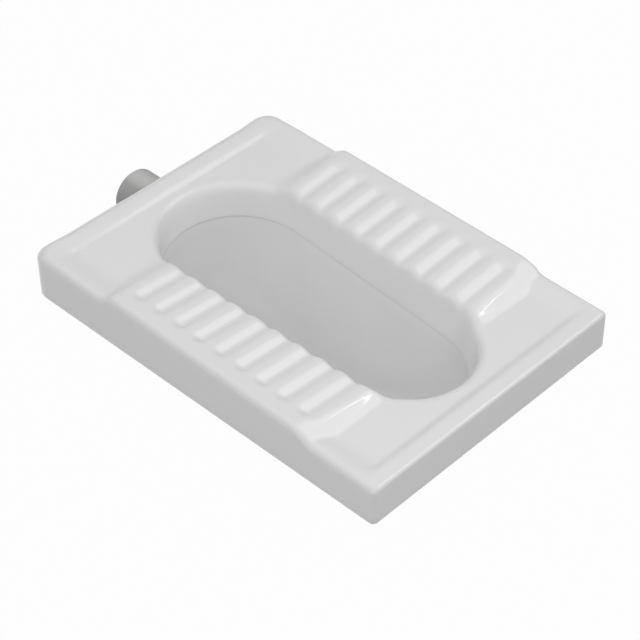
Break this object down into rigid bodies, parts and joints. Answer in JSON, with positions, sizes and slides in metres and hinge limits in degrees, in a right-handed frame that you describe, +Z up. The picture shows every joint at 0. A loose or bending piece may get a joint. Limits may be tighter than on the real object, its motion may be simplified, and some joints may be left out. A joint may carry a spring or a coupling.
{
  "type": "squat toilet",
  "caption": "Floor-level squat toilet in white glazed ceramic: a skirted deck with ribbed footrests beside a long well, a flushed lip, a dished bowl, a rear flush horn and a bottom outlet.",
  "frame": {"origin": "middle of the deck in the plane of the skirt's bottom edge, which beds on the floor slab", "axes": "+X to the user's right, +Y to the rear where the flush horn stands out, +Z up"},
  "size_m": [0.425, 0.64, 0.3102],
  "materials": {
    "glaze": "gloss"
  },
  "bodies": {
    "root": {"deck": "glaze", "skirt": "glaze", "footrest_left": "glaze", "footrest_right": "glaze", "rim": "glaze", "channel_floor": "glaze", "channel_wall": "glaze", "bowl": "glaze", "flush_horn": "glaze", "outlet_spigot": "glaze"}
  },
  "joints": []
}
